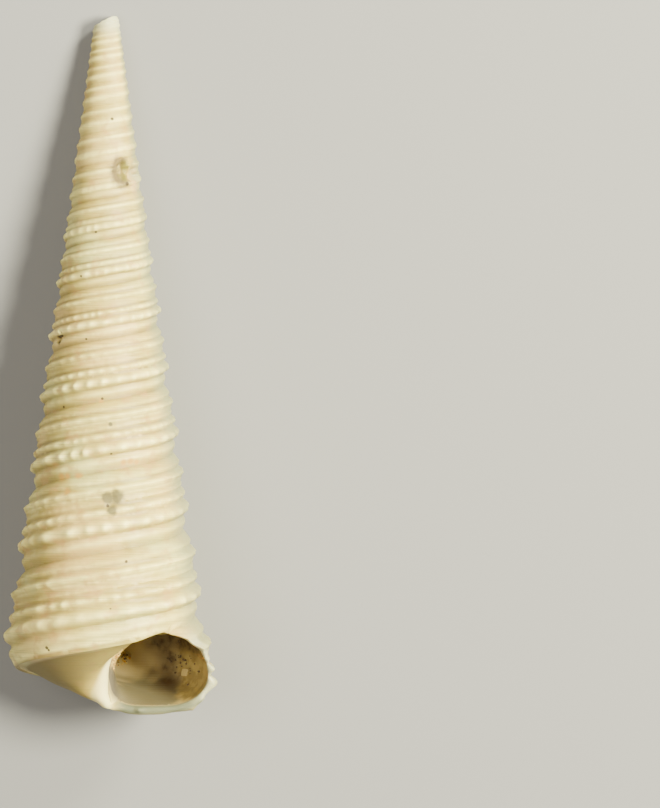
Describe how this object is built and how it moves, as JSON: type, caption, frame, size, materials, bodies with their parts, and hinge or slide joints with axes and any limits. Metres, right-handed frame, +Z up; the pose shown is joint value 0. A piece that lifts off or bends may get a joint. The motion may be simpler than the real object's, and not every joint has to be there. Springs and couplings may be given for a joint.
{
  "type": "turritella fossil",
  "caption": "Slender coiled fossil snail shell with beaded spiral cords and an open mouth, lying on its side.",
  "frame": {"origin": "middle of the bounding box's underside, on the surface that the shell lies on", "axes": "+Z up, +Y from the mouth end towards the tip, +X towards the outer lip of the mouth"},
  "size_m": [0.0138, 0.0452, 0.0125],
  "materials": {
    "shell": "waxy cream shell with low gloss, brown stains and dark pits"
  },
  "bodies": {
    "root": {"shell": "shell"}
  },
  "joints": []
}
